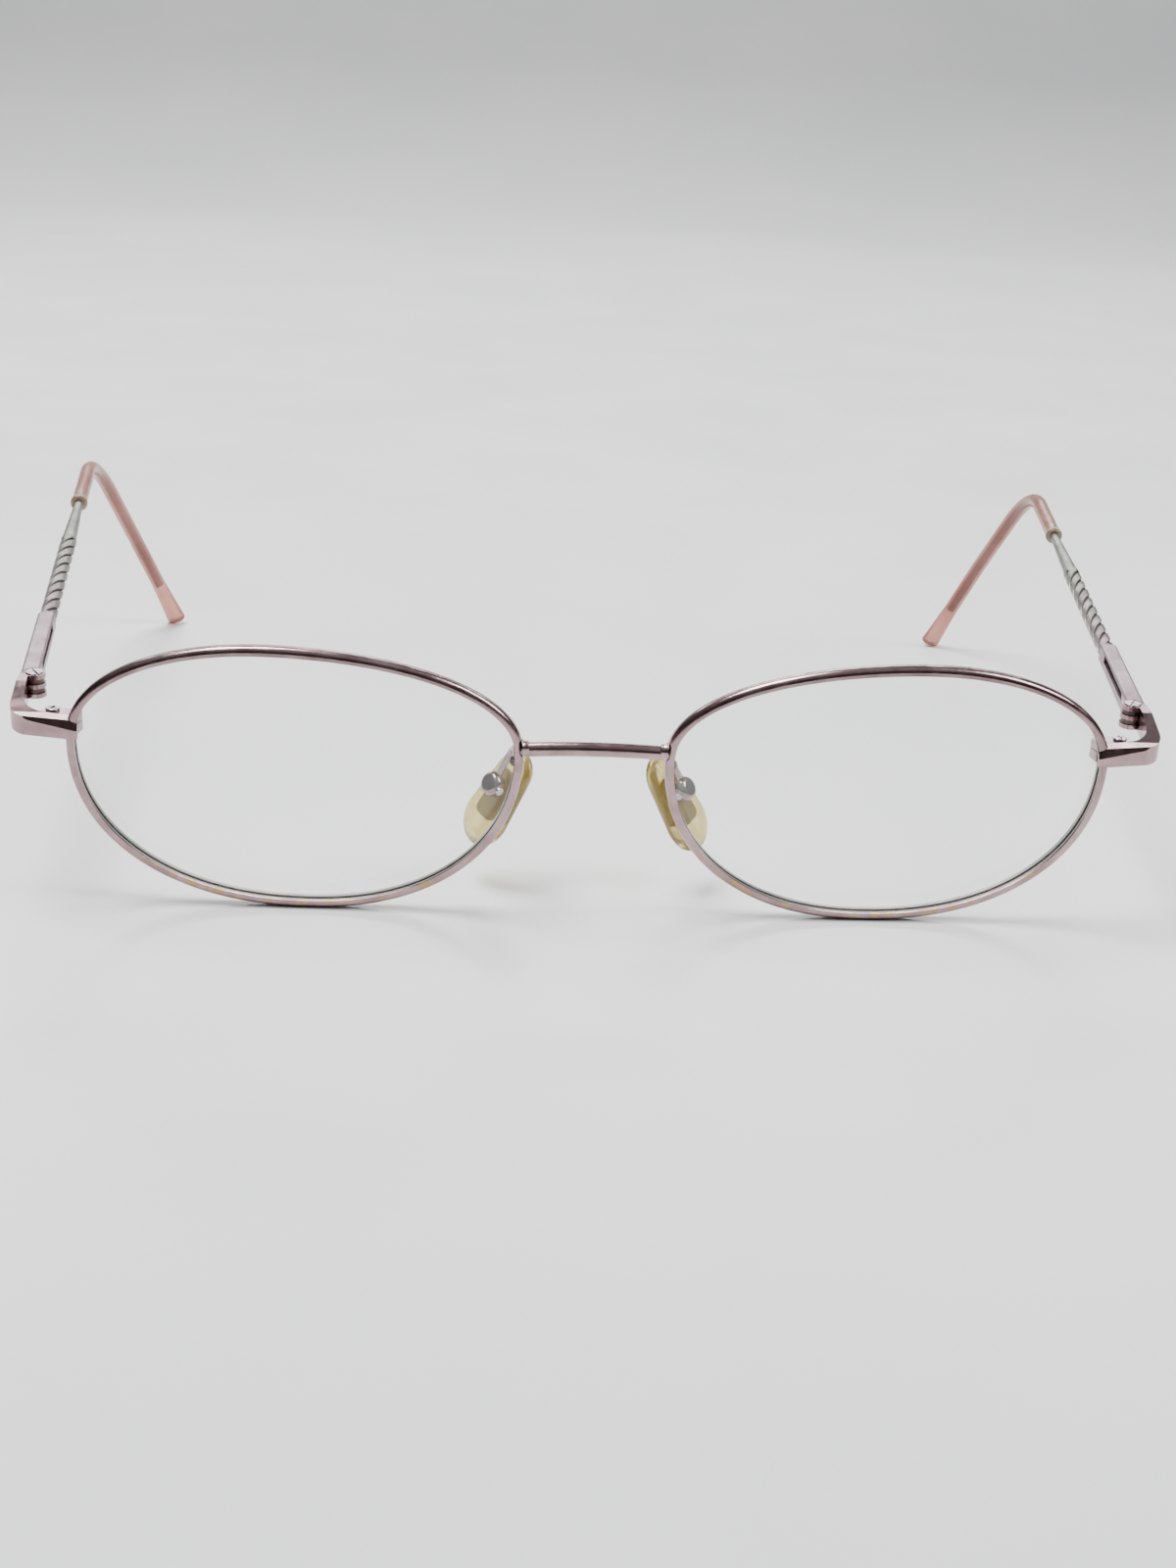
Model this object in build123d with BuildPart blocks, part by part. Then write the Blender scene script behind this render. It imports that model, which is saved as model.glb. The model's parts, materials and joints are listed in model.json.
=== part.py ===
from build123d import *
import os
from math import copysign, cos, pi, sin

# Reading glasses with folding temples, in millimetres.
# The parts are drawn with the lens plane upright: X towards the wearer's left, Y backwards and
# Z up, from a point between the two rims at the height of the bridge. Every left part is drawn
# and its twin mirrored. Saving a part stands the pair on its rims and its temple tips.

os.makedirs("parts", exist_ok=True)

# Cuts and blanks run past the finished shape by this much
SPARE = 1.0

# Outline of a rim, along the middle of its wire
NASAL_X = 8.65
TEMPORAL_X = 59.63
TOP_X = 37.0
TOP_Z = 11.37
BOTTOM_X = 32.6
BOTTOM_Z = -19.61
WIDEST_Z = -0.6
TOP_FULLNESS = 2.04  # 2 is an ellipse, more is squarer
BOTTOM_FULLNESS = 2.23
OUTLINE_POINTS = 36

# The front of both rims lies on a sphere, as the lenses do
CURVE_RADIUS = 120.0
CURVE_FRONT = (31.05, -1.94, -4.5)  # its foremost point
CURVE_CENTRE = (CURVE_FRONT[0], CURVE_FRONT[1] + CURVE_RADIUS, CURVE_FRONT[2])
PRISM_HALF = 9.0  # half depth of the blanks that are cut to the curve
LONG_EDGE = 20.0  # the edges that run round a rim are longer, those at a split are shorter

# Rim wire and lens
RIM_WALL = 1.02
RIM_DEPTH = 1.8
RIM_ROUND = 0.72
GROOVE_DEPTH = 0.3
GROOVE_WIDTH = 0.7
SEAT_GAP = 0.02
LENS_INSET = 0.35  # lens front behind the rim's front
LENS_THICK = 2.1
LENS_BACK_RADIUS = 165.0
BEVEL_CLEAR = 0.04

# Bridge
BRIDGE_HALF_TALL = 0.84
BRIDGE_HALF_DEEP = 0.8
BRIDGE_ARC = ((-9.2, 1.15, -0.25), (0.0, 0.8, 0.2), (9.2, 1.15, -0.25))

# End piece: a flat strip round the corner to the hinge
STRIP_FRONT = ((58.6, 1.02), (66.78, 2.75), (66.95, 12.15))
STRIP_BACK = ((58.6, 2.75), (65.3, 4.3), (65.98, 12.15))
STRIP_FRONT_RADIUS = 3.4
STRIP_BACK_RADIUS = 3.2
STRIP_BLANK_FLOOR = -1.0
STRIP_BLANK_TALL = 5.0
STRIP_BLANK_WIDE = 12.0
STRIP_TOP = ((0.0, 1.55), (3.6, 1.8), (9.4, 3.34), (15.0, 3.34))  # (y, z) from the side
STRIP_BOTTOM = ((15.0, 0.48), (9.4, 0.48), (3.6, -0.48), (0.0, -0.75))
# Two flats on its front, each through a point on the ridge, one on the edge, one at the corner
UPPER_FACET = ((60.0, 1.31, 0.72), (66.3, 2.68, 1.65), (60.0, 1.75, 1.7))
LOWER_FACET = ((60.0, 1.31, 0.46), (60.0, 1.66, -0.8), (66.3, 2.68, -0.5))

# Hinge: three fixed leaves, two moving ones between them, on a vertical screw
HINGE_X = 65.35
HINGE_Y = 12.2
HINGE_TOP = 3.34
HINGE_WALL = 65.98
LEAF = 0.54
LEAF_SLOT = 0.62
LEAF_SLOT_WIDE = 3.0
LEAF_SLOT_LONG = 4.0
LEAF_LONG = 2.2
LEAF_RADIUS = 1.3
EYE_RADIUS = 1.12
EYE_CLEAR = 0.12
SCREW_RADIUS = 0.38
SCREW_FIT = 0.03
SCREW_HEAD_RADIUS = 1.02
SCREW_HEAD_SINK = 0.2
SCREW_HEAD_TALL = 0.36
SCREW_HEAD_EDGE = 0.12
SCREW_SLOT_TURN = 60.0  # degrees
SLOT_WIDTH = 0.24
SLOT_DEPTH = 0.16

# Rim lock: two blocks on the ends of the split rim, and their screw
LOCK_TURN = 13.0  # degrees, along the end piece
LOCK_START = (60.1, 3.18)
LOCK_LENGTH = 3.35
LOCK_DEEP = 2.1
LOCK_CORNER = 1.0
LOCK_TOP = 1.65
LOCK_SPLIT = 0.55
LOCK_BOTTOM = -0.7
LOCK_GAP = 0.12
LOCK_SCREW_ALONG = 2.1
LOCK_SCREW_RADIUS = 0.4
LOCK_SCREW_CLEAR = 0.05
LOCK_THREAD_CLEAR = 0.01
LOCK_HEAD_RADIUS = 0.8
LOCK_HEAD_TALL = 0.36
LOCK_HEAD_EDGE = 0.16
CROSS_LONG = 1.05
CROSS_DEPTH = 0.22

# Temple, along its own straight axis
TEMPLE_ROOT = (65.95, 12.2, 1.91)
TEMPLE_AIM = (0.0836, 0.9951, 0.0523)
BOX_START = 0.2
BOX_END = 19.3
BOX_WIDE = 2.1
BOX_TALL = 2.86
BOX_END_TALL = 2.35
BOX_ROUND = 0.42
CAVITY_WIDE = 1.44
CAVITY_TALL = 1.96
CAVITY_ROUND = 0.2
CAVITY_END = 17.6
WINDOW = (4.2, 16.2)
WINDOW_TALL = 0.95
WINDOW_UP = 0.42
TWIST_END = 48.2
TWIST_RADIUS = 1.08
TWIST_STARTS = 4
TWIST_LEAD = 12.8
GROOVE_RADIUS = 0.27
GROOVE_PROUD = 0.06  # the middle of the round cut, outside the surface
GROOVE_INSET = 0.8
TAPER_END = 63.0
NECK_RADIUS = 0.98
CORE_RADIUS = 0.6

# Spring hinge carriage
TONGUE_WIDE = 1.36
TONGUE_TALL = 1.88
TONGUE_ROUND = 0.18
TONGUE = (1.75, 4.7)
LEAF_ROOT_SHIFT = 0.75  # towards the outside of the temple
LEAF_ROOT_WIDE = 1.28
ROD_RADIUS = 0.3
ROD_END = 15.6
HEAD_RADIUS = 0.6
HEAD_LENGTH = 0.5
PLUG = (5.0, 6.0)
PLUG_CLEAR = 0.03
PLUG_FIT = 0.01
SPRING_WIRE = 0.11
SPRING_RADIUS = 0.52
SPRING_PITCH = 0.72
SPRING_GAP = 0.02
SPRING_TRAVEL = 1.25  # the coil is drawn as short as the carriage's full travel leaves it

# Temple tip, a sleeve on the bent end of the core wire
TIP_MOUTH = 63.8
BEND_AT = 85.8
DROP_MIDDLE = (68.6, 107.6, -9.8)
DROP_END = (63.1, 112.7, -25.0)
CORE_SHARE = 0.55  # the core wire ends this far down the last run
BEND_RADIUS = 13.0
DROP_RADIUS = 20.0
TIP_RADIUS = 1.08
PADDLE_HALF = (1.5, 1.15)  # half width, half thickness at the end
PADDLE_ROUND = 0.5
TIP_BORE_CLEAR = 0.03

# Nose pad, its holder and its arm
BOX_CENTRE = (11.5, 8.3, -7.7)
PAD_NORMAL = (-0.70, 0.55, -0.47)
PAD_UP = (-0.50, 0.10, 0.86)
HOLDER_RADIUS = 1.5
HOLDER_DOME = 0.85
HOLDER_RIM = 0.55
HOLDER_ROUND = 0.7
HOLDER_SLOT = 1.16
TAB_WIDE = 1.06
TAB_RADIUS = 0.62
TAB_CLEAR = 0.08
PAD_SCREW_RADIUS = 0.28
PAD_SCREW_HEAD = 0.48
PAD_SCREW_HEAD_TALL = 0.28
PAD_SCREW_REACH = 1.45
PAD_SCREW_FIT = 0.02
PAD_TAB_FIT = 0.04
PAD_DROP = 1.0
PAD_GAP = 1.02
PAD_THICK = 2.3
PAD_TOP_RADIUS = 2.7
PAD_LOW_RADIUS = 3.5
PAD_LENGTH = 12.8
PAD_EDGE = 0.95
INSERT_LONG = 6.4
INSERT_WIDE = 3.4
INSERT_THICK = 0.7
INSERT_ROUND = 0.9
INSERT_DEPTH = 0.5
ARM_RADIUS = 0.42
ARM_PATH = ((8.95, 2.28, -2.1), (8.95, 7.9, -2.3), (10.75, 8.45, -6.45))
ARM_BEND = 2.0

# How the pair stands
STAND_TILT = 2.692
STAND_LIFT = 20.11
STAND_BACK = -56.594


def save(piece, name):
    placed = Pos(0, STAND_BACK, STAND_LIFT) * Rot(STAND_TILT, 0, 0) * piece
    placed.label = name
    export_step(placed, f"parts/{name}.step")


def save_pair(piece, name):
    """Save a left part and its mirrored twin."""
    with BuildPart() as twin:
        mirror(piece, about=Plane.YZ)
    save(piece, f"left_{name}")
    save(twin.part, f"right_{name}")


# ---------------------------------------------------------------- front


def outline(grow):
    """Closed outline of the rim's middle line, moved outwards by grow."""
    points = []
    for step in range(OUTLINE_POINTS):
        angle = 2 * pi * step / OUTLINE_POINTS
        above = sin(angle) >= 0
        middle = TOP_X if above else BOTTOM_X
        power = 2 / (TOP_FULLNESS if above else BOTTOM_FULLNESS)
        reach = TEMPORAL_X - middle if cos(angle) > 0 else middle - NASAL_X
        height = TOP_Z - WIDEST_Z if above else WIDEST_Z - BOTTOM_Z
        x = copysign(abs(cos(angle)) ** power * (reach + grow), cos(angle))
        z = copysign(abs(sin(angle)) ** power * (height + grow), sin(angle))
        points.append((middle + x, WIDEST_Z + z))
    return points


def curved_plate(grow, front, back, rounding=0.0):
    """The outline as a plate bent to the lens curve, between two depths behind its front."""
    with BuildPart() as plate:
        with BuildSketch(Plane.XZ):
            with BuildLine():
                Spline(*outline(grow), periodic=True)
            make_face()
        extrude(amount=PRISM_HALF, both=True)
        with Locations(CURVE_CENTRE):
            Sphere(CURVE_RADIUS - front, mode=Mode.INTERSECT)
            Sphere(CURVE_RADIUS - back, mode=Mode.SUBTRACT)
        if rounding:
            long_edges = plate.edges().filter_by(lambda edge: edge.length > LONG_EDGE)
            fillet(long_edges, radius=rounding)
    return plate.part


def make_rim():
    half = RIM_WALL / 2
    middle = RIM_DEPTH / 2
    with BuildPart() as rim:
        add(curved_plate(half, 0, RIM_DEPTH, RIM_ROUND))
        add(curved_plate(-half, -SPARE, RIM_DEPTH + SPARE), mode=Mode.SUBTRACT)
        groove = curved_plate(
            GROOVE_DEPTH - half, middle - GROOVE_WIDTH / 2, middle + GROOVE_WIDTH / 2
        )
        add(groove, mode=Mode.SUBTRACT)
        with BuildSketch(Plane.XY.offset(LOCK_SPLIT)):
            with Locations((TEMPORAL_X, 0)):
                Rectangle(4 * RIM_WALL, 2 * PRISM_HALF)
        extrude(amount=LOCK_GAP / 2, both=True, mode=Mode.SUBTRACT)
    return rim.part


def make_lens():
    half = RIM_WALL / 2
    middle = RIM_DEPTH / 2
    bevel = GROOVE_WIDTH / 2 - BEVEL_CLEAR
    back_shift = LENS_BACK_RADIUS - CURVE_RADIUS
    with BuildPart() as lens:
        add(curved_plate(-half - SEAT_GAP, LENS_INSET, LENS_INSET + LENS_THICK + SPARE))
        centre = (CURVE_CENTRE[0], CURVE_CENTRE[1] + back_shift, CURVE_CENTRE[2])
        with Locations(centre):
            Sphere(LENS_BACK_RADIUS - LENS_INSET - LENS_THICK, mode=Mode.SUBTRACT)
        add(curved_plate(GROOVE_DEPTH - half - BEVEL_CLEAR, middle - bevel, middle + bevel))
    return lens.part


def make_bridge(rim_blank):
    with BuildPart() as bridge:
        with BuildLine() as path:
            ThreePointArc(*BRIDGE_ARC)
        with BuildSketch(Plane(origin=path.line @ 0, x_dir=(0, 1, 0), z_dir=path.line % 0)):
            Ellipse(BRIDGE_HALF_DEEP, BRIDGE_HALF_TALL)
        sweep()
        add(rim_blank, mode=Mode.SUBTRACT)
        mirror(rim_blank, about=Plane.YZ, mode=Mode.SUBTRACT)
    return bridge.part


def facet(ridge, first, second):
    """The plane through three points; its upper side is cut away."""
    across = (Vector(*first) - Vector(*ridge)).cross(Vector(*second) - Vector(*ridge))
    return Plane(origin=ridge, z_dir=across)


def make_end_piece(rim_blank):
    """The strip from the rim round the corner, with the three fixed hinge leaves."""
    with BuildPart() as strip:
        with BuildSketch(Plane.XY.offset(STRIP_BLANK_FLOOR)):
            with BuildLine():
                outside = FilletPolyline(*STRIP_FRONT, radius=STRIP_FRONT_RADIUS)
                inside = FilletPolyline(*STRIP_BACK, radius=STRIP_BACK_RADIUS)
                Line(outside @ 0, inside @ 0)
                Line(outside @ 1, inside @ 1)
            make_face()
            with Locations((HINGE_X, HINGE_Y)):
                Circle(LEAF_RADIUS)
        extrude(amount=STRIP_BLANK_TALL)
        with BuildSketch(Plane.YZ.offset(STRIP_FRONT[0][0] - SPARE)):
            with BuildLine():
                Polyline(*STRIP_TOP, *STRIP_BOTTOM, close=True)
            make_face()
        extrude(amount=STRIP_BLANK_WIDE, mode=Mode.INTERSECT)
        split(bisect_by=facet(*UPPER_FACET), keep=Keep.BOTTOM)
        split(bisect_by=facet(*LOWER_FACET), keep=Keep.BOTTOM)
        for level in (1, 2):
            slot_floor = HINGE_TOP - level * (LEAF + LEAF_SLOT)
            with BuildSketch(Plane.XY.offset(slot_floor)):
                with Locations((HINGE_X, HINGE_Y)):
                    Circle(EYE_RADIUS + EYE_CLEAR)
                with Locations((HINGE_WALL, HINGE_Y)):
                    Rectangle(LEAF_SLOT_WIDE, LEAF_SLOT_LONG, align=(Align.MAX, Align.CENTER))
                with Locations((HINGE_X, HINGE_Y)):
                    Rectangle(LEAF_SLOT_WIDE, LEAF_LONG, align=(Align.CENTER, Align.MIN))
            extrude(amount=LEAF_SLOT, mode=Mode.SUBTRACT)
        with BuildSketch(Plane.XY.offset(STRIP_BLANK_FLOOR)):
            with Locations((HINGE_X, HINGE_Y)):
                Circle(SCREW_RADIUS + SCREW_FIT)
        extrude(amount=STRIP_BLANK_TALL, mode=Mode.SUBTRACT)
        with BuildSketch(Plane.XY.offset(HINGE_TOP - SCREW_HEAD_SINK)):
            with Locations((HINGE_X, HINGE_Y)):
                Circle(SCREW_HEAD_RADIUS + SCREW_FIT)
        extrude(amount=SPARE, mode=Mode.SUBTRACT)
        add(rim_blank, mode=Mode.SUBTRACT)
    return strip.part


def make_hinge_screw():
    head_floor = HINGE_TOP - SCREW_HEAD_SINK
    length = 3 * LEAF + 2 * LEAF_SLOT - SCREW_HEAD_SINK
    with BuildPart() as screw:
        with BuildSketch(Plane.XY.offset(head_floor)):
            with Locations((HINGE_X, HINGE_Y)):
                Circle(SCREW_HEAD_RADIUS)
        extrude(amount=SCREW_HEAD_TALL)
        fillet(screw.edges().group_by(Axis.Z)[-1], radius=SCREW_HEAD_EDGE)
        with BuildSketch(Plane.XY.offset(head_floor)):
            with Locations((HINGE_X, HINGE_Y)):
                Circle(SCREW_RADIUS)
        extrude(amount=-length)
        with BuildSketch(Plane.XY.offset(head_floor + SCREW_HEAD_TALL)):
            with Locations(Location((HINGE_X, HINGE_Y), SCREW_SLOT_TURN)):
                Rectangle(3 * SCREW_HEAD_RADIUS, SLOT_WIDTH)
        extrude(amount=-SLOT_DEPTH, mode=Mode.SUBTRACT)
    return screw.part


# ---------------------------------------------------------------- rim lock


def lock_plane(height):
    """A level plane with its corner where the end piece leaves the rim, turned along it."""
    origin = (LOCK_START[0], LOCK_START[1], height)
    return Plane(origin=origin, x_dir=Vector(1, 0, 0).rotate(Axis.Z, LOCK_TURN), z_dir=(0, 0, 1))


def make_lock_block(rim_blank, floor, top, hole_radius):
    with BuildPart() as block:
        with BuildSketch(lock_plane(floor)) as plan:
            with Locations(((LOCK_LENGTH - SPARE) / 2, LOCK_DEEP / 2)):
                Rectangle(LOCK_LENGTH + SPARE, LOCK_DEEP)
            outer_corners = plan.vertices().group_by(Axis.X)[-1]
            fillet(outer_corners, radius=LOCK_CORNER)
            with Locations((LOCK_SCREW_ALONG, LOCK_DEEP / 2)):
                Circle(hole_radius, mode=Mode.SUBTRACT)
        extrude(amount=top - floor)
        add(rim_blank, mode=Mode.SUBTRACT)
    return block.part


def make_lock_screw():
    head_floor = LOCK_TOP
    with BuildPart() as screw:
        with BuildSketch(lock_plane(head_floor)):
            with Locations((LOCK_SCREW_ALONG, LOCK_DEEP / 2)):
                Circle(LOCK_HEAD_RADIUS)
        extrude(amount=LOCK_HEAD_TALL)
        fillet(screw.edges().group_by(Axis.Z)[-1], radius=LOCK_HEAD_EDGE)
        with BuildSketch(lock_plane(LOCK_BOTTOM)):
            with Locations((LOCK_SCREW_ALONG, LOCK_DEEP / 2)):
                Circle(LOCK_SCREW_RADIUS)
        extrude(amount=head_floor - LOCK_BOTTOM)
        with BuildSketch(lock_plane(head_floor + LOCK_HEAD_TALL)):
            with Locations((LOCK_SCREW_ALONG, LOCK_DEEP / 2)):
                Rectangle(CROSS_LONG, SLOT_WIDTH)
                Rectangle(SLOT_WIDTH, CROSS_LONG)
        extrude(amount=-CROSS_DEPTH, mode=Mode.SUBTRACT)
    return screw.part


# ---------------------------------------------------------------- temple


def temple_plane(along):
    """A plane across the temple: its x points inwards, its y up and its z backwards."""
    aim = Vector(*TEMPLE_AIM)
    inward = Vector(0, 0, 1).cross(aim).normalized()
    return Plane(origin=Vector(*TEMPLE_ROOT) + aim * along, x_dir=inward, z_dir=aim)


def make_spring_box():
    with BuildPart() as box:
        with BuildSketch(temple_plane(BOX_START)):
            RectangleRounded(BOX_WIDE, BOX_TALL, BOX_ROUND)
        with BuildSketch(temple_plane(BOX_END)):
            RectangleRounded(BOX_WIDE, BOX_END_TALL, BOX_ROUND)
        loft()
        with BuildSketch(temple_plane(BOX_START - SPARE)):
            RectangleRounded(CAVITY_WIDE, CAVITY_TALL, CAVITY_ROUND)
        extrude(amount=CAVITY_END - BOX_START + SPARE, mode=Mode.SUBTRACT)
        with BuildSketch(temple_plane(WINDOW[0])):
            with Locations((BOX_WIDE / 2, WINDOW_UP)):
                Rectangle(BOX_WIDE / 2, WINDOW_TALL)
        extrude(amount=WINDOW[1] - WINDOW[0], mode=Mode.SUBTRACT)
        room = LEAF_RADIUS + EYE_CLEAR
        with BuildSketch():
            with Locations((HINGE_X, HINGE_Y)):
                Circle(room)
                Rectangle(LEAF_SLOT_LONG, 2 * room, align=(Align.MAX, Align.CENTER))
        extrude(amount=STRIP_BLANK_TALL, both=True, mode=Mode.SUBTRACT)
    return box.part


def make_carriage():
    """The sliding tongue with the two moving leaves in front and the spring rod behind."""
    with BuildPart() as carriage:
        with BuildSketch(temple_plane(TONGUE[0])):
            RectangleRounded(TONGUE_WIDE, TONGUE_TALL, TONGUE_ROUND)
        extrude(amount=TONGUE[1] - TONGUE[0])
        for level in (1, 2):
            leaf_floor = HINGE_TOP - level * (LEAF + LEAF_SLOT) + (LEAF_SLOT - LEAF) / 2
            with BuildSketch(Plane.XY.offset(leaf_floor)):
                with Locations((HINGE_X, HINGE_Y)):
                    Circle(EYE_RADIUS)
                with Locations((HINGE_X + LEAF_ROOT_SHIFT, HINGE_Y)):
                    Rectangle(LEAF_ROOT_WIDE, LEAF_LONG, align=(Align.CENTER, Align.MIN))
            extrude(amount=LEAF)
        with BuildSketch(temple_plane(TONGUE[1])):
            Circle(ROD_RADIUS)
        extrude(amount=ROD_END - TONGUE[1])
        with BuildSketch(temple_plane(ROD_END - HEAD_LENGTH)):
            Circle(HEAD_RADIUS)
        extrude(amount=HEAD_LENGTH)
        with BuildSketch(Plane.XY.offset(STRIP_BLANK_FLOOR)):
            with Locations((HINGE_X, HINGE_Y)):
                Circle(SCREW_RADIUS + SCREW_FIT)
        extrude(amount=STRIP_BLANK_TALL, mode=Mode.SUBTRACT)
    return carriage.part


def make_spring_plug():
    with BuildPart() as plug:
        with BuildSketch(temple_plane(PLUG[0])):
            RectangleRounded(CAVITY_WIDE - PLUG_FIT, CAVITY_TALL - PLUG_FIT, CAVITY_ROUND - PLUG_FIT)
            Circle(ROD_RADIUS + PLUG_CLEAR, mode=Mode.SUBTRACT)
        extrude(amount=PLUG[1] - PLUG[0])
    return plug.part


def make_spring():
    inset = SPRING_WIRE + SPRING_GAP
    start = PLUG[1] + inset
    length = ROD_END - HEAD_LENGTH - SPRING_TRAVEL - inset - start
    base = temple_plane(start)
    with BuildPart() as spring:
        with BuildLine() as coil:
            Helix(SPRING_PITCH, length, SPRING_RADIUS, center=base.origin, direction=base.z_dir)
        with BuildSketch(Plane(origin=coil.line @ 0, z_dir=coil.line % 0)):
            Circle(SPRING_WIRE)
        sweep(is_frenet=True)
    return spring.part


def core_end():
    middle = Vector(*DROP_MIDDLE)
    return middle + (Vector(*DROP_END) - middle) * CORE_SHARE


def tip_line(start):
    """The bent line of the core wire: straight, down over the ear, then a little inwards."""
    with BuildLine() as line:
        FilletPolyline(
            temple_plane(start).origin,
            temple_plane(BEND_AT).origin,
            Vector(*DROP_MIDDLE),
            core_end(),
            radius=(BEND_RADIUS, DROP_RADIUS),
        )
    return line.line


def make_shaft(lefthand):
    """The twisted stretch, its taper and the core wire in the tip, all one piece."""
    base = temple_plane(BOX_END)
    cut_from = temple_plane(BOX_END + GROOVE_INSET)
    with BuildPart() as groove:
        with BuildLine() as path:
            Helix(
                TWIST_LEAD,
                TWIST_END - BOX_END - 2 * GROOVE_INSET,
                TWIST_RADIUS + GROOVE_PROUD,
                center=cut_from.origin,
                direction=cut_from.z_dir,
                lefthand=lefthand,
            )
        with BuildSketch(Plane(origin=path.line @ 0, z_dir=path.line % 0)):
            Circle(GROOVE_RADIUS)
        sweep(is_frenet=True)
    middle_axis = Axis(base.origin, base.z_dir)
    with BuildPart() as shaft:
        with BuildSketch(base):
            Circle(TWIST_RADIUS)
        extrude(amount=TWIST_END - BOX_END)
        for start in range(TWIST_STARTS):
            turned = groove.part.rotate(middle_axis, 360 * start / TWIST_STARTS)
            add(turned, mode=Mode.SUBTRACT)
        with BuildSketch(temple_plane(TWIST_END)):
            Circle(NECK_RADIUS)
        with BuildSketch(temple_plane(TAPER_END)):
            Circle(CORE_RADIUS)
        loft()
        with BuildSketch(temple_plane(TAPER_END)):
            Circle(CORE_RADIUS)
        sweep(path=tip_line(TAPER_END))
    return shaft.part


def make_tip():
    start = core_end()
    end = Vector(*DROP_END)
    with BuildPart() as tip:
        with BuildSketch(temple_plane(TIP_MOUTH)):
            Circle(TIP_RADIUS)
        sweep(path=tip_line(TIP_MOUTH))
        with BuildSketch(Plane(origin=start, x_dir=(1, 0, 0), z_dir=end - start)):
            Circle(TIP_RADIUS)
        with BuildSketch(Plane(origin=end, x_dir=(1, 0, 0), z_dir=end - start)):
            Ellipse(*PADDLE_HALF)
        loft()
        end_face = tip.faces().filter_by(GeomType.PLANE).sort_by(Axis.Z)[0]
        fillet(end_face.edges(), radius=PADDLE_ROUND)
        with BuildSketch(temple_plane(TAPER_END)):
            Circle(CORE_RADIUS + TIP_BORE_CLEAR)
        sweep(path=tip_line(TAPER_END), mode=Mode.SUBTRACT)
    return tip.part


# ---------------------------------------------------------------- nose pad


def pad_plane(along_normal):
    """A plane across the pad's normal: its x is the rocking axis and its y points up the pad."""
    normal = Vector(*PAD_NORMAL).normalized()
    across = Vector(*PAD_UP).cross(normal).normalized()
    return Plane(origin=Vector(*BOX_CENTRE) + normal * along_normal, x_dir=across, z_dir=normal)


def make_pad_holder():
    with BuildPart() as holder:
        with BuildSketch(pad_plane(-HOLDER_DOME)):
            Circle(HOLDER_RADIUS)
        extrude(amount=HOLDER_DOME + HOLDER_RIM)
        apex = pad_plane(-HOLDER_DOME).origin
        back_face = holder.faces().sort_by_distance(apex)[0]
        fillet(back_face.edges(), radius=HOLDER_ROUND)
        with BuildSketch(pad_plane(HOLDER_RIM)):
            Rectangle(HOLDER_SLOT, 2 * HOLDER_RADIUS)
        extrude(amount=-HOLDER_RIM - TAB_RADIUS - TAB_CLEAR, mode=Mode.SUBTRACT)
        with BuildSketch(Plane(pad_plane(0).origin, x_dir=(0, 0, 1), z_dir=pad_plane(0).x_dir)):
            Circle(PAD_SCREW_RADIUS + PAD_SCREW_FIT)
        extrude(amount=2 * HOLDER_RADIUS, both=True, mode=Mode.SUBTRACT)
    return holder.part


def make_pad_screw():
    base = pad_plane(0)
    shank = Plane(base.origin, x_dir=base.y_dir, z_dir=base.x_dir)
    with BuildPart() as screw:
        with BuildSketch(shank.offset(-PAD_SCREW_REACH)):
            Circle(PAD_SCREW_RADIUS)
        extrude(amount=PAD_SCREW_REACH + HOLDER_RADIUS)
        with BuildSketch(shank.offset(HOLDER_RADIUS)):
            Circle(PAD_SCREW_HEAD)
        extrude(amount=PAD_SCREW_HEAD_TALL)
    return screw.part


def pad_outline():
    """The teardrop outline of the pad, wider below."""
    span = PAD_LENGTH - PAD_TOP_RADIUS - PAD_LOW_RADIUS
    with Locations((0, -PAD_DROP)):
        with Locations((0, span / 2)):
            Circle(PAD_TOP_RADIUS)
        with Locations((0, -span / 2)):
            Circle(PAD_LOW_RADIUS)
    make_hull()


def make_pad_insert():
    with BuildPart() as insert:
        with BuildSketch(pad_plane(PAD_GAP + INSERT_DEPTH)):
            with Locations((0, -PAD_DROP)):
                RectangleRounded(INSERT_WIDE, INSERT_LONG, INSERT_ROUND)
        extrude(amount=INSERT_THICK)
        with BuildSketch(pad_plane(0)):
            Rectangle(TAB_WIDE, 2 * TAB_RADIUS)
        extrude(amount=PAD_GAP + INSERT_DEPTH)
        base = pad_plane(0)
        side = Plane(base.origin, x_dir=base.y_dir, z_dir=base.x_dir)
        with BuildSketch(side):
            Circle(TAB_RADIUS)
        extrude(amount=TAB_WIDE / 2, both=True)
        with BuildSketch(side):
            Circle(PAD_SCREW_RADIUS + PAD_TAB_FIT)
        extrude(amount=TAB_WIDE, both=True, mode=Mode.SUBTRACT)
    return insert.part


def make_pad(insert):
    with BuildPart() as pad:
        with BuildSketch(pad_plane(PAD_GAP)):
            pad_outline()
        extrude(amount=PAD_THICK)
        ends = pad.edges().filter_by(lambda edge: edge.length > 2 * PAD_THICK)
        fillet(ends, radius=PAD_EDGE)
        add(insert, mode=Mode.SUBTRACT)
    return pad.part


def make_pad_arm(rim_blank):
    with BuildPart() as arm:
        with BuildLine() as path:
            FilletPolyline(*ARM_PATH, radius=ARM_BEND)
        with BuildSketch(Plane(origin=path.line @ 0, z_dir=path.line % 0)):
            Circle(ARM_RADIUS)
        sweep()
        add(rim_blank, mode=Mode.SUBTRACT)
    return arm.part


# ---------------------------------------------------------------- assembly

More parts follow.
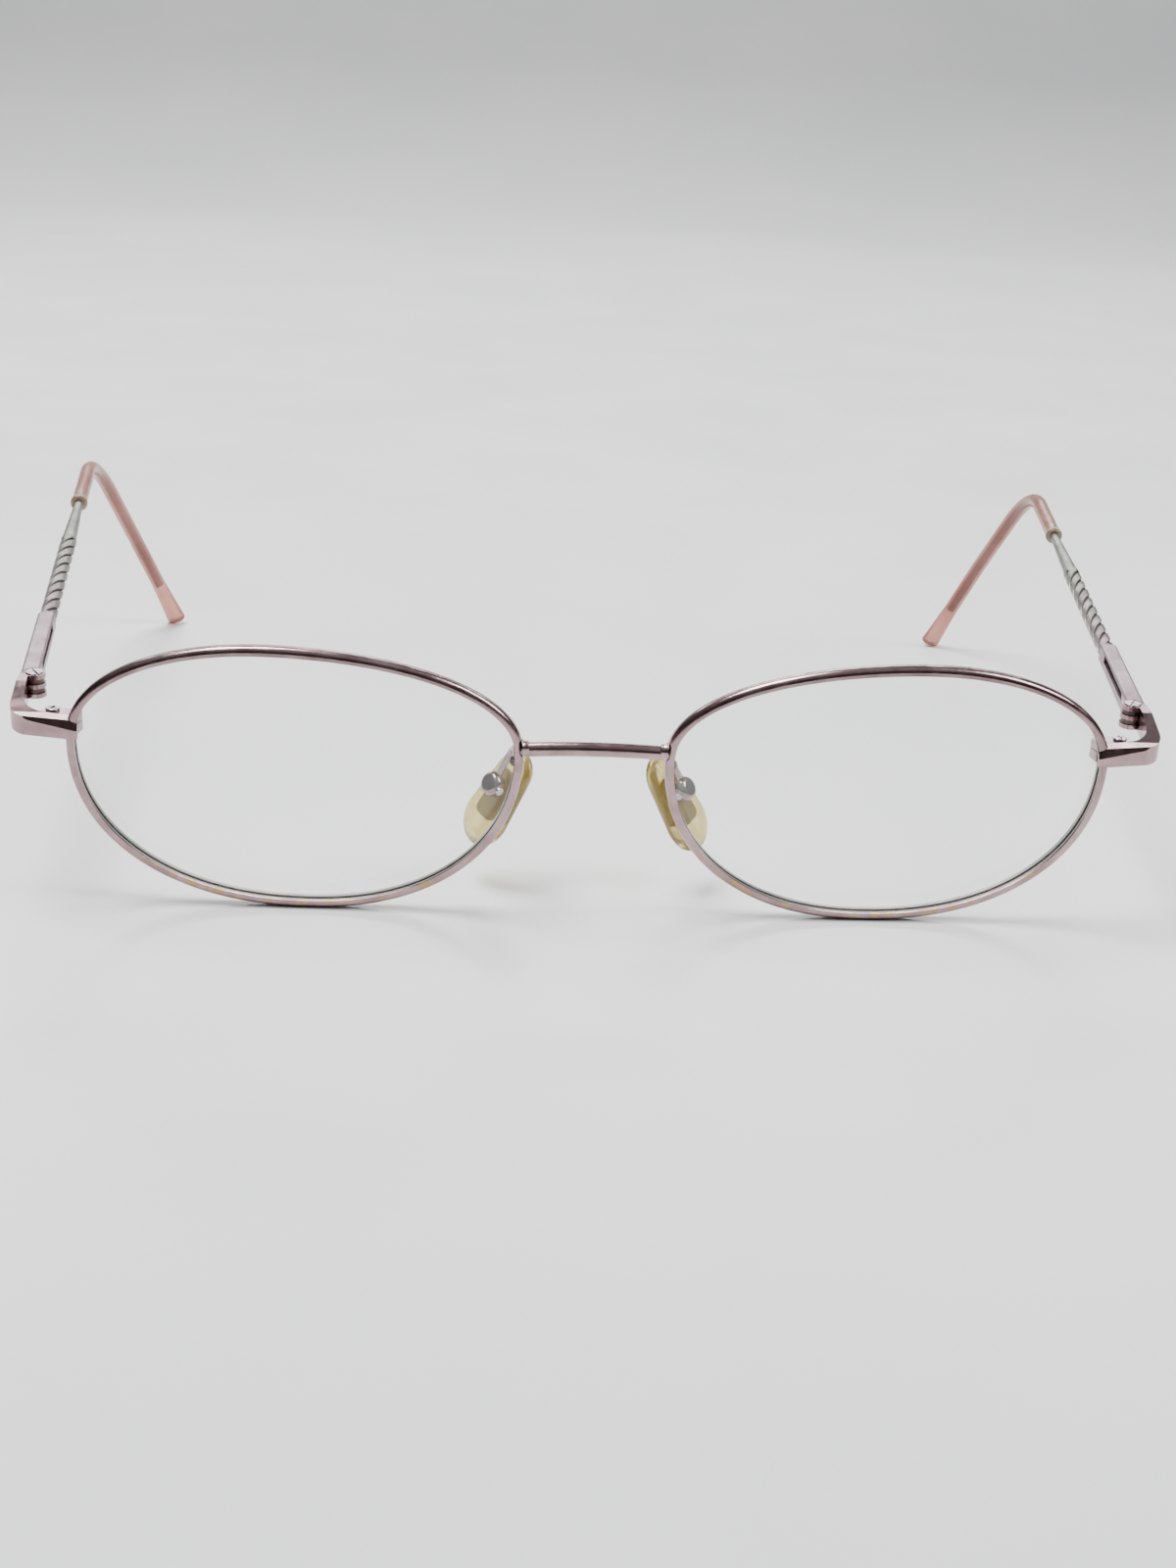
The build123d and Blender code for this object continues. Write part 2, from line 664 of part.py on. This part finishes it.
rim_space = curved_plate(RIM_WALL / 2 + SEAT_GAP, -SEAT_GAP, RIM_DEPTH + SEAT_GAP, RIM_ROUND)
save(make_bridge(rim_space), "bridge")
save_pair(make_rim(), "rim")
save_pair(make_lens(), "lens")
save_pair(make_end_piece(rim_space), "end_piece")
save_pair(make_hinge_screw(), "hinge_screw")

split_half = LOCK_GAP / 2
clear_hole = LOCK_SCREW_RADIUS + LOCK_SCREW_CLEAR
threaded_hole = LOCK_SCREW_RADIUS + LOCK_THREAD_CLEAR
upper = make_lock_block(rim_space, LOCK_SPLIT + split_half, LOCK_TOP, clear_hole)
lower = make_lock_block(rim_space, LOCK_BOTTOM, LOCK_SPLIT - split_half, threaded_hole)
save_pair(upper, "rim_lock_upper")
save_pair(lower, "rim_lock_lower")
save_pair(make_lock_screw(), "rim_lock_screw")

save_pair(make_spring_box(), "spring_box")
save_pair(make_carriage(), "hinge_carriage")
save_pair(make_spring_plug(), "spring_plug")
save_pair(make_spring(), "hinge_spring")
save_pair(make_tip(), "temple_tip")
save(make_shaft(lefthand=False), "left_temple_shaft")
with BuildPart() as right_shaft:
    mirror(make_shaft(lefthand=True), about=Plane.YZ)
save(right_shaft.part, "right_temple_shaft")

pad_insert = make_pad_insert()
save_pair(make_pad_holder(), "pad_holder")
save_pair(make_pad_screw(), "pad_screw")
save_pair(pad_insert, "pad_insert")
save_pair(make_pad(pad_insert), "nose_pad")
save_pair(make_pad_arm(rim_space), "pad_arm")
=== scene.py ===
import bpy
import bmesh
import json
import numpy as np
from math import cos, pi, sin
from mathutils import Matrix, Vector


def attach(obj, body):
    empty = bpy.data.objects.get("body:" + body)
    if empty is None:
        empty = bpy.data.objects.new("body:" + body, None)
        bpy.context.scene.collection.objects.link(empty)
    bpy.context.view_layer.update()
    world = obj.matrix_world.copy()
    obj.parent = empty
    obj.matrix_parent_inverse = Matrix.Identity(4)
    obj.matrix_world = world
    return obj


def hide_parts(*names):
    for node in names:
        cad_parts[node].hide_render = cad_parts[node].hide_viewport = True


# Reading glasses with sprung folding temples. Metres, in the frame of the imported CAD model.

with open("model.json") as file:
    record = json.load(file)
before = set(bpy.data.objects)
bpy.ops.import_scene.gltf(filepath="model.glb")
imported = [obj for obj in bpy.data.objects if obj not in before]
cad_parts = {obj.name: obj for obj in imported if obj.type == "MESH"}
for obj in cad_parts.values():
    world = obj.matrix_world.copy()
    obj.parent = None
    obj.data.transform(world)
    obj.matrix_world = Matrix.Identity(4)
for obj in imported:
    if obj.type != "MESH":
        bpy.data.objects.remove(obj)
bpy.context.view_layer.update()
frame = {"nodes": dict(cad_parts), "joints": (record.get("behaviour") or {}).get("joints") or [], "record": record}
record = frame["record"]
nodes = frame["nodes"]
mounts = {mount["name"]: mount for mount in record["mounts"]}
joints = {joint["name"]: joint for joint in frame["joints"]}
mm = 0.001


# ---------------------------------------------------------------- node graphs


class Graph:
    """A material's node tree, with short calls for the nodes used here."""

    def __init__(self, name):
        self.material = bpy.data.materials.new(name)
        self.material.use_nodes = True
        self.tree = self.material.node_tree
        self.shader = self.tree.nodes["Principled BSDF"]
        self.place = self.tree.nodes.new("ShaderNodeTexCoord").outputs["Object"]

    def join(self, source, socket):
        if isinstance(source, bpy.types.NodeSocket):
            self.tree.links.new(source, socket)
        else:
            socket.default_value = source

    def put(self, name, value):
        self.join(value, self.shader.inputs[name])

    def noise(self, scale, stretch=(1, 1, 1), detail=4.0, roughness=0.55):
        mapping = self.tree.nodes.new("ShaderNodeMapping")
        mapping.inputs["Scale"].default_value = stretch
        self.join(self.place, mapping.inputs["Vector"])
        node = self.tree.nodes.new("ShaderNodeTexNoise")
        node.inputs["Scale"].default_value = scale
        node.inputs["Detail"].default_value = detail
        node.inputs["Roughness"].default_value = roughness
        self.join(mapping.outputs["Vector"], node.inputs["Vector"])
        return node.outputs["Fac"]

    def span(self, value, low, high, to_low=0.0, to_high=1.0):
        """The value's stretch low..high carried smoothly to to_low..to_high."""
        node = self.tree.nodes.new("ShaderNodeMapRange")
        node.interpolation_type = "SMOOTHSTEP"
        self.join(value, node.inputs["Value"])
        names = ("From Min", "From Max", "To Min", "To Max")
        for name, number in zip(names, (low, high, to_low, to_high)):
            node.inputs[name].default_value = number
        return node.outputs["Result"]

    def math(self, kind, first, second=0.0):
        node = self.tree.nodes.new("ShaderNodeMath")
        node.operation = kind
        self.join(first, node.inputs[0])
        self.join(second, node.inputs[1])
        return node.outputs["Value"]

    def vector(self, kind, first, second=(0, 0, 0)):
        node = self.tree.nodes.new("ShaderNodeVectorMath")
        node.operation = kind
        self.join(first, node.inputs[0])
        self.join(second, node.inputs[1])
        return node.outputs["Value" if kind in ("LENGTH", "DOT_PRODUCT") else "Vector"]

    def part(self, vector, letter):
        node = self.tree.nodes.new("ShaderNodeSeparateXYZ")
        self.join(vector, node.inputs["Vector"])
        return node.outputs[letter]

    def blend(self, share, first, second):
        node = self.tree.nodes.new("ShaderNodeMix")
        node.data_type = "RGBA"
        self.join(share, node.inputs["Factor"])
        for value, socket in ((first, node.inputs["A"]), (second, node.inputs["B"])):
            linked = isinstance(value, bpy.types.NodeSocket)
            self.join(value if linked else (*value, 1), socket)
        return node.outputs["Result"]

    def bump(self, height, strength, distance):
        node = self.tree.nodes.new("ShaderNodeBump")
        node.inputs["Strength"].default_value = strength
        node.inputs["Distance"].default_value = distance
        self.join(height, node.inputs["Height"])
        self.join(node.outputs["Normal"], self.shader.inputs["Normal"])


CREVICE_SAMPLES = 8


def painted_crevice_shade(graph, reach):
    """Painted shade from ambient occlusion: 1 in open places, towards 0 in corners and slots narrower than the
    reach.
    """
    node = graph.tree.nodes.new("ShaderNodeAmbientOcclusion")
    node.samples = CREVICE_SAMPLES
    node.inputs["Distance"].default_value = reach
    return graph.span(node.outputs["AO"], 0.25, 0.85)


def normal_part(graph, letter):
    node = graph.tree.nodes.new("ShaderNodeNewGeometry")
    return graph.part(node.outputs["Normal"], letter)


# dark brown painted into corners and slots as shade
CREVICE_SHADE = (0.10, 0.06, 0.055)
CREVICE_SHADE_REACH = 0.7 * mm
WORN_FROM = 2 * mm  # height where the plating is most worn
WORN_TO = 12 * mm  # height where the wear ends


def plated_metal(name, light, dark, gloss, stretch=(1, 1, 1), wear=None):
    """Plated metal: cloudy tint, smudged gloss, fine scratches and, low down, worn plating; corners and slots
    darkened towards dark brown as painted shade.
    """
    graph = Graph(name)
    color = graph.blend(graph.span(graph.noise(260.0), 0.35, 0.68), dark, light)
    if wear:
        height = graph.part(graph.place, "Z")
        low = graph.span(height, WORN_FROM, WORN_TO, 1.0, 0.0)
        worn = graph.span(graph.noise(700.0, detail=6.0), 0.5, 0.62)
        color = graph.blend(graph.math("MULTIPLY", low, worn), color, wear)
    # painted shade: corners and slots darkened towards dark brown
    graph.put("Base Color", graph.blend(painted_crevice_shade(graph, CREVICE_SHADE_REACH), CREVICE_SHADE, color))
    graph.put("Metallic", 1.0)
    smudge = graph.span(graph.noise(420.0, detail=5.0), 0.3, 0.7, gloss, gloss + 0.13)
    graph.put("Roughness", smudge)
    graph.bump(graph.noise(5200.0, stretch, detail=3.0), 0.16, 0.03 * mm)
    return graph.material


# ---------------------------------------------------------------- the temple's own axis

MOUTH_LIP = 0.05  # mm from the seat's end to the tip's mouth
GROOVE_FLOOR = 0.9 * mm  # distances from the temple's axis
GROOVE_TOP = 1.06 * mm
PINK_END = -46 * mm  # distances along the axis from the tip's mouth
GREY_START = -22 * mm
TWIST_END = -16.1 * mm
TWIST_FADE = 0.3 * mm
CORE_START = 0.1 * mm
CORE_FULL = 0.5 * mm
MOUTH_YELLOW = 0.9 * mm
MOUTH_CLEAR = 3.4 * mm
# painted shade colours: the bottom of the twist's grooves, and the core inside the tip
GROOVE_SHADE = (0.075, 0.062, 0.056)
CORE_SHADE = (0.10, 0.032, 0.025)

seat = mounts["left_cord_seat"]
temple_aim = Vector(seat["axis"])
seat_middle = Vector(seat["pos_m"])
tip_mouth = seat_middle - temple_aim * (seat["dims"]["length_mm"] / 2 + MOUTH_LIP) * mm


def temple_place(graph):
    """Distance from the temple's straight axis, and distance along it from the tip's mouth.
    Both temples share it: the right one is measured mirrored."""
    mirrored = graph.vector("ABSOLUTE", graph.place)
    sign = graph.tree.nodes.new("ShaderNodeCombineXYZ")
    graph.join(graph.part(mirrored, "X"), sign.inputs["X"])
    graph.join(graph.part(graph.place, "Y"), sign.inputs["Y"])
    graph.join(graph.part(graph.place, "Z"), sign.inputs["Z"])
    offset = graph.vector("SUBTRACT", sign.outputs["Vector"], tuple(tip_mouth))
    along = graph.vector("DOT_PRODUCT", offset, tuple(temple_aim))
    away = graph.vector("LENGTH", graph.vector("CROSS_PRODUCT", offset, tuple(temple_aim)))
    return away, along


def twisted_metal():
    """Grey-rose plating, pinker towards the hinge, dull at the bottom of the grooves and darkened there as painted
    shade; the core inside the tip is painted dark red as shade.
    """
    graph = Graph("twisted_plating")
    away, along = temple_place(graph)
    tint = graph.span(graph.noise(330.0), 0.35, 0.68)
    grey = graph.blend(tint, (0.21, 0.21, 0.195), (0.33, 0.33, 0.305))
    pink = graph.blend(tint, (0.24, 0.18, 0.20), (0.36, 0.285, 0.305))
    color = graph.blend(graph.span(along, PINK_END, GREY_START), pink, grey)
    groove = graph.span(away, GROOVE_FLOOR, GROOVE_TOP, 1.0, 0.0)
    on_twist = graph.span(along, TWIST_END - TWIST_FADE, TWIST_END, 1.0, 0.0)
    deep = graph.math("MULTIPLY", groove, on_twist)
    core = graph.span(along, CORE_START, CORE_FULL)
    # painted shade at the bottom of the grooves, then on the core inside the tip
    groove_shaded = graph.blend(deep, color, GROOVE_SHADE)
    graph.put("Base Color", graph.blend(core, groove_shaded, CORE_SHADE))
    graph.put("Metallic", 1.0)
    shine = graph.span(graph.noise(500.0, detail=5.0), 0.3, 0.7, 0.38, 0.5)
    graph.put("Roughness", graph.math("ADD", shine, graph.math("MULTIPLY", deep, 0.3)))
    graph.bump(graph.noise(4200.0, detail=3.0), 0.15, 0.02 * mm)
    return graph.material


def tip_plastic():
    """Translucent salmon plastic, yellower at its mouth, with faint flow clouds."""
    graph = Graph("salmon_plastic")
    along = temple_place(graph)[1]
    cloud = graph.span(graph.noise(140.0, detail=5.0), 0.3, 0.7)
    salmon = graph.blend(cloud, (0.54, 0.22, 0.17), (0.70, 0.34, 0.27))
    mouth = graph.span(along, MOUTH_YELLOW, MOUTH_CLEAR, 1.0, 0.0)
    graph.put("Base Color", graph.blend(mouth, salmon, (0.66, 0.52, 0.38)))
    graph.put("Transmission Weight", 0.72)
    graph.put("IOR", 1.47)
    graph.put("Roughness", graph.span(graph.noise(900.0), 0.3, 0.7, 0.12, 0.24))
    graph.bump(graph.noise(1500.0, detail=4.0), 0.14, 0.04 * mm)
    return graph.material


def pad_plastic(name, light, dark, clear):
    """Clear plastic gone yellow, deeper in colour where it is handled."""
    graph = Graph(name)
    cloud = graph.span(graph.noise(480.0, detail=5.0), 0.32, 0.7)
    graph.put("Base Color", graph.blend(cloud, dark, light))
    graph.put("Transmission Weight", clear)
    graph.put("IOR", 1.43)
    graph.put("Roughness", graph.span(graph.noise(1200.0), 0.3, 0.7, 0.1, 0.22))
    graph.bump(graph.noise(2600.0, detail=4.0), 0.12, 0.03 * mm)
    return graph.material


def lens_clear():
    """Clear lens, polished faces and a frosted pale edge, with faint wiping marks."""
    graph = Graph("clear_lens")
    facing = graph.math("ABSOLUTE", normal_part(graph, "Y"))
    edge = graph.span(facing, 0.35, 0.7, 1.0, 0.0)
    wipes = graph.span(graph.noise(55.0, (1, 1, 3), detail=6.0), 0.5, 0.75)
    graph.put("Base Color", graph.blend(edge, (0.86, 0.96, 0.90), (0.92, 0.96, 0.93)))
    graph.put("Metallic", graph.math("SUBTRACT", 1.0, edge))
    haze = graph.math("MULTIPLY", wipes, 0.03)
    clear = graph.math("ADD", haze, 0.05)
    graph.put("Alpha", graph.math("ADD", clear, graph.math("MULTIPLY", edge, 0.22)))
    frost = graph.math("MULTIPLY", edge, 0.35)
    graph.put("Roughness", graph.math("ADD", frost, graph.math("ADD", haze, 0.02)))
    return graph.material


rose_light = (0.43, 0.305, 0.315)
rose_dark = (0.30, 0.20, 0.21)
brassy = (0.42, 0.28, 0.14)
steel_light = (0.56, 0.48, 0.55)
steel_dark = (0.40, 0.33, 0.39)
satin_light = (0.37, 0.28, 0.312)
satin_dark = (0.27, 0.20, 0.228)
along_temple = (1, 0.08, 1)
finishes = {
    "frame_metal": plated_metal("rose_plating", rose_light, rose_dark, 0.13, wear=brassy),
    "lock_metal": plated_metal("lock_plating", (0.46, 0.35, 0.36), (0.32, 0.23, 0.24), 0.24),
    "screw_metal": plated_metal("screw_steel", steel_light, steel_dark, 0.16),
    "box_metal": plated_metal("satin_plating", satin_light, satin_dark, 0.34, along_temple),
    "twist_metal": twisted_metal(),
    # hinge steel kept very dark: painted shade for the shadowed slot of the hinge
    "hinge_steel": plated_metal("hinge_steel", (0.22, 0.16, 0.14), (0.09, 0.065, 0.06), 0.36),
    "spring_steel": plated_metal("spring_wire", (0.55, 0.54, 0.53), (0.35, 0.34, 0.34), 0.26),
    "lens_clear": lens_clear(),
    "tip_plastic": tip_plastic(),
    "pad_soft": pad_plastic("pad_plastic", (0.82, 0.70, 0.32), (0.64, 0.48, 0.15), 0.85),
    "pad_core": pad_plastic("pad_core_plastic", (0.46, 0.38, 0.18), (0.30, 0.22, 0.09), 0.5),
}

for subpart in record["subparts"]:
    shown = nodes[subpart["node"]]
    shown.data.materials.clear()
    shown.data.materials.append(finishes[subpart["material_slot"]])


# ---------------------------------------------------------------- pieces that CAD leaves plain


def piece(name, mesh, body, slot):
    """A smooth-shaded piece that rides on a body, with the finish of a slot."""
    for polygon in mesh.polygons:
        polygon.use_smooth = True
    made = bpy.data.objects.new(name, mesh)
    bpy.context.scene.collection.objects.link(made)
    made.data.materials.append(finishes[slot])
    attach(made, body)
    return made


def rings_mesh(name, rings):
    """A closed skin over a row of rings of points, with a point at each end."""
    shape = bmesh.new()
    loops = [[shape.verts.new(point) for point in ring] for ring in rings]
    for first, second in zip(loops, loops[1:]):
        for place in range(len(first)):
            after = (place + 1) % len(first)
            shape.faces.new((first[place], first[after], second[after], second[place]))
    for loop in (loops[0], loops[-1]):
        middle = shape.verts.new(sum((vertex.co for vertex in loop), Vector()) / len(loop))
        for place in range(len(loop)):
            shape.faces.new((loop[place], loop[(place + 1) % len(loop)], middle))
    bmesh.ops.recalc_face_normals(shape, faces=shape.faces)
    mesh = bpy.data.meshes.new(name)
    shape.to_mesh(mesh)
    shape.free()
    return mesh


FILLET_STEPS = 8
FILLET_POINTS = 40
FILLET_SKIN = 0.015 * mm
FILLET_CURVE = 2.4
BEAD_STEPS = 14
BEAD_POINTS = 28
BEAD_RADIUS = 0.36 * mm
BEAD_TALL = 0.26 * mm
BEAD_RAISE = 0.62 * mm
END_REACH = 0.25 * mm


def solder_fillet(name, root, aim, half_wide, half_tall, length, flare):
    """The collar of solder where a bar meets another: it hugs the bar and flares at its root."""
    aim = Vector(aim).normalized()
    across = aim.cross(Vector((0, 0, 1))).normalized()
    up = across.cross(aim)
    rings = []
    for step in range(FILLET_STEPS + 1):
        share = step / FILLET_STEPS
        grow = flare * (1 - share) ** FILLET_CURVE + FILLET_SKIN
        centre = Vector(root) + aim * length * share
        ring = []
        for place in range(FILLET_POINTS):
            angle = 2 * pi * place / FILLET_POINTS
            tall = half_tall + grow * (1.0 + 0.12 * sin(3 * angle))
            ring.append(centre + across * (half_wide + grow) * cos(angle) + up * tall * sin(angle))
        rings.append(ring)
    return piece(name, rings_mesh(name, rings), "front", "frame_metal")


def solder_bead(name, centre):
    """A small uneven bead of solder on top of a joint."""
    rings = []
    for step in range(1, BEAD_STEPS):
        lean = -pi / 2 + pi * step / BEAD_STEPS
        radius = BEAD_RADIUS * cos(lean)
        ring = []
        for place in range(BEAD_POINTS):
            angle = 2 * pi * place / BEAD_POINTS
            uneven = 1 + 0.07 * sin(3 * angle + 2 * lean) + 0.04 * cos(5 * angle)
            sideways = radius * 1.15 * uneven * cos(angle)
            backwards = radius * uneven * sin(angle)
            ring.append(centre + Vector((sideways, backwards, BEAD_TALL * sin(lean))))
        rings.append(ring)
    return piece(name, rings_mesh(name, rings), "front", "frame_metal")


def end_of(node, letter, sign):
    """The middle of a node's very end along an axis."""
    points = np.array([vertex.co for vertex in nodes[node].data.vertices])
    reach = points[:, "xyz".index(letter)] * sign
    return Vector(points[reach > reach.max() - END_REACH].mean(axis=0))


bridge_tall = 0.84 * mm
bridge_deep = 0.8 * mm
arm_radius = 0.42 * mm
for side, sign in (("left", 1), ("right", -1)):
    root = end_of("bridge", "x", sign)
    inwards = (-sign, 0, 0.06)
    solder_fillet(
        f"{side}_bridge_solder", root, inwards, bridge_deep, bridge_tall, 0.8 * mm, 0.26 * mm
    )
    solder_bead(f"{side}_bridge_bead", root + Vector((0, 0, BEAD_RAISE)))
    root = end_of(f"{side}_pad_arm", "y", -1)
    backwards = (0, 1, 0.05)
    solder_fillet(
        f"{side}_arm_solder", root, backwards, arm_radius, arm_radius, 0.9 * mm, 0.32 * mm
    )


def pad_frame(side):
    """The pad's middle, its directions across, up and out, and its half sizes along them."""
    points = np.array([vertex.co for vertex in nodes[f"{side}_nose_pad"].data.vertices])
    pivot = np.array(joints[f"{side}_pad_rock"]["pos_m"])
    middle = (points.max(axis=0) + points.min(axis=0)) / 2
    across = np.array(joints[f"{side}_pad_rock"]["axis"])
    flat = points - middle
    flat = flat - np.outer(flat @ across, across)
    directions = np.linalg.svd(flat, full_matrices=False)[2]
    up = directions[0] * np.sign(directions[0][2])
    out = np.cross(across, up)
    out = out * np.sign(out @ (middle - pivot))
    axes = (across, up, out)
    reaches = [points @ axis for axis in axes]
    centre = sum((reach.max() + reach.min()) / 2 * axis for reach, axis in zip(reaches, axes))
    return centre, axes, [(reach.max() - reach.min()) / 2 for reach in reaches]


PAD_STEPS = 32
PAD_POINTS = 72
PAD_TOP_SHARE = 0.77  # the upper end's radius, as a share of the lower end's
PAD_BACK_SHARE = 0.9
PAD_FRONT_CROWN = 0.42
PAD_BACK_CROWN = 0.3


def nose_pad(side):
    """A soft drop: rounder and wider below, crowned on the nose side, flatter behind."""
    centre, (across, up, out), (half_wide, half_long, half_thick) = pad_frame(side)
    top_radius = half_wide * PAD_TOP_SHARE
    shift = 2 * half_long - top_radius - half_wide
    rings = []
    for step in range(1, PAD_STEPS):
        lean = -pi / 2 + pi * step / PAD_STEPS
        thick = half_thick * sin(lean) * (1.0 if lean > 0 else PAD_BACK_SHARE)
        share = cos(lean) ** (PAD_FRONT_CROWN if lean > 0 else PAD_BACK_CROWN)
        ring = []
        for place in range(PAD_POINTS):
            angle = 2 * pi * place / PAD_POINTS
            upper = shift * sin(angle) > half_wide - top_radius
            radius = top_radius if upper else half_wide
            lift = half_long - top_radius if upper else half_wide - half_long
            sideways = radius * cos(angle) * share
            upwards = (lift + radius * sin(angle)) * share
            ring.append(Vector(centre + across * sideways + up * upwards + out * thick))
        rings.append(ring)
    name = f"{side}_soft_pad"
    made = piece(name, rings_mesh(name, rings), f"{side}_pad", "pad_soft")
    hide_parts(f"{side}_nose_pad")


COLLAR_POINTS = 40
# distance along the temple from the tip's mouth, and radius, in mm
COLLAR_PROFILE = (
    (-0.06, 0.68),
    (-0.1, 0.9),
    (-0.02, 1.1),
    (0.2, 1.2),
    (0.55, 1.21),
    (0.85, 1.15),
    (1.05, 1.06),
)


def tip_collar(side):
    """The rolled lip at the mouth of a tip."""
    mirror = 1 if side == "left" else -1
    centre = Vector((tip_mouth.x * mirror, tip_mouth.y, tip_mouth.z))
    aim = Vector((temple_aim.x * mirror, temple_aim.y, temple_aim.z))
    across = aim.cross(Vector((0, 0, 1))).normalized()
    up = across.cross(aim)
    rings = []
    for along, radius in COLLAR_PROFILE:
        middle = centre + aim * along * mm
        ring = []
        for place in range(COLLAR_POINTS):
            angle = 2 * pi * place / COLLAR_POINTS
            ring.append(middle + (across * cos(angle) + up * sin(angle)) * radius * mm)
        rings.append(ring)
    name = f"{side}_tip_collar"
    piece(name, rings_mesh(name, rings), f"{side}_temple", "tip_plastic")


for side in ("left", "right"):
    nose_pad(side)
    tip_collar(side)


# ---------------------------------------------------------------- stage


def floor_paint():
    """Pale painted board with faint mottling and a soft sheen."""
    graph = Graph("pale_floor")
    cloud = graph.span(graph.noise(9.0, detail=6.0), 0.3, 0.7)
    graph.put("Base Color", graph.blend(cloud, (0.79, 0.80, 0.81), (0.85, 0.855, 0.86)))
    graph.put("Roughness", graph.span(graph.noise(30.0), 0.3, 0.7, 0.32, 0.42))
    graph.bump(graph.noise(300.0), 0.05, 0.1 * mm)
    return graph.material


FLOOR_HALF_WIDE = 1.8
FLOOR_FRONT = -1.6
CURVE_START = 0.7
CURVE_RADIUS = 0.5
CURVE_STEPS = 16
BACKDROP_TOP = 1.8


def sweep_floor():
    """A floor that curves up into a backdrop well behind the glasses."""
    profile = [(FLOOR_FRONT, 0.0), (CURVE_START, 0.0)]
    for step in range(1, CURVE_STEPS + 1):
        angle = pi / 2 * step / CURVE_STEPS
        lift = CURVE_RADIUS - CURVE_RADIUS * cos(angle)
        profile.append((CURVE_START + CURVE_RADIUS * sin(angle), lift))
    profile.append((CURVE_START + CURVE_RADIUS, BACKDROP_TOP))
    shape = bmesh.new()
    ends = (-FLOOR_HALF_WIDE, FLOOR_HALF_WIDE)
    rows = [[shape.verts.new((x, y, z)) for x in ends] for y, z in profile]
    for (first, second), (fourth, third) in zip(rows, rows[1:]):
        shape.faces.new((first, second, third, fourth))
    mesh = bpy.data.meshes.new("floor")
    shape.to_mesh(mesh)
    shape.free()
    for polygon in mesh.polygons:
        polygon.use_smooth = True
    floor = bpy.data.objects.new("floor", mesh)
    bpy.context.scene.collection.objects.link(floor)
    floor.data.materials.append(floor_paint())


def softbox(name, position, target, size, power, tint=(1, 1, 1)):
    data = bpy.data.lights.new(name, "AREA")
    data.shape = "RECTANGLE"
    data.size, data.size_y = size
    data.energy = power
    data.color = tint
    lamp = bpy.data.objects.new(name, data)
    bpy.context.scene.collection.objects.link(lamp)
    lamp.location = position
    lamp.rotation_euler = (Vector(target) - Vector(position)).to_track_quat("-Z", "Y").to_euler()


def room_light():
    """Dim room, brighter overhead, darker round the horizon, so the plating has something to show."""
    world = bpy.data.worlds.new("room")
    bpy.context.scene.world = world
    world.use_nodes = True
    tree = world.node_tree
    place = tree.nodes.new("ShaderNodeTexCoord")
    height = tree.nodes.new("ShaderNodeSeparateXYZ")
    ramp = tree.nodes.new("ShaderNodeValToRGB")
    tree.links.new(place.outputs["Generated"], height.inputs["Vector"])
    tree.links.new(height.outputs["Z"], ramp.inputs["Fac"])
    ramp.color_ramp.elements[0].position = 0.35
    ramp.color_ramp.elements[0].color = (0.075, 0.055, 0.056, 1)
    ramp.color_ramp.elements[1].position = 0.85
    ramp.color_ramp.elements[1].color = (0.5, 0.52, 0.55, 1)
    tree.links.new(ramp.outputs["Color"], tree.nodes["Background"].inputs["Color"])
    tree.nodes["Background"].inputs["Strength"].default_value = 0.8


CAMERA_PLACE = (-0.01474, -0.28235, 0.10217)
CAMERA_FORWARD = (0.0582, 0.9333, -0.3545)
CAMERA_RIGHT = (0.998, -0.0450, 0.0452)
CAMERA_LENS = 48.42


def camera():
    """A hand-held view from in front and above, a little to the wearer's right."""
    forward = Vector(CAMERA_FORWARD).normalized()
    right = Vector(CAMERA_RIGHT)
    right = (right - forward * right.dot(forward)).normalized()
    up = right.cross(forward)
    data = bpy.data.cameras.new("camera")
    data.lens = CAMERA_LENS
    data.clip_start = 0.01
    seen = bpy.data.objects.new("camera", data)
    bpy.context.scene.collection.objects.link(seen)
    turn = Matrix((right, up, -forward)).transposed().to_4x4()
    seen.matrix_world = Matrix.Translation(CAMERA_PLACE) @ turn
    bpy.context.scene.camera = seen


sweep_floor()
room_light()
aimed_at = (0, 0, 0.01)
softbox("key", (-0.25, 0.1, 0.8), aimed_at, (0.45, 0.3), 11.0, (1.0, 0.99, 0.97))
softbox("fill", (0.6, -0.15, 0.55), aimed_at, (0.25, 0.45), 5.0, (0.97, 0.98, 1.0))
softbox("strip", (0.0, 0.7, 0.45), aimed_at, (1.0, 0.1), 4.0)
camera()
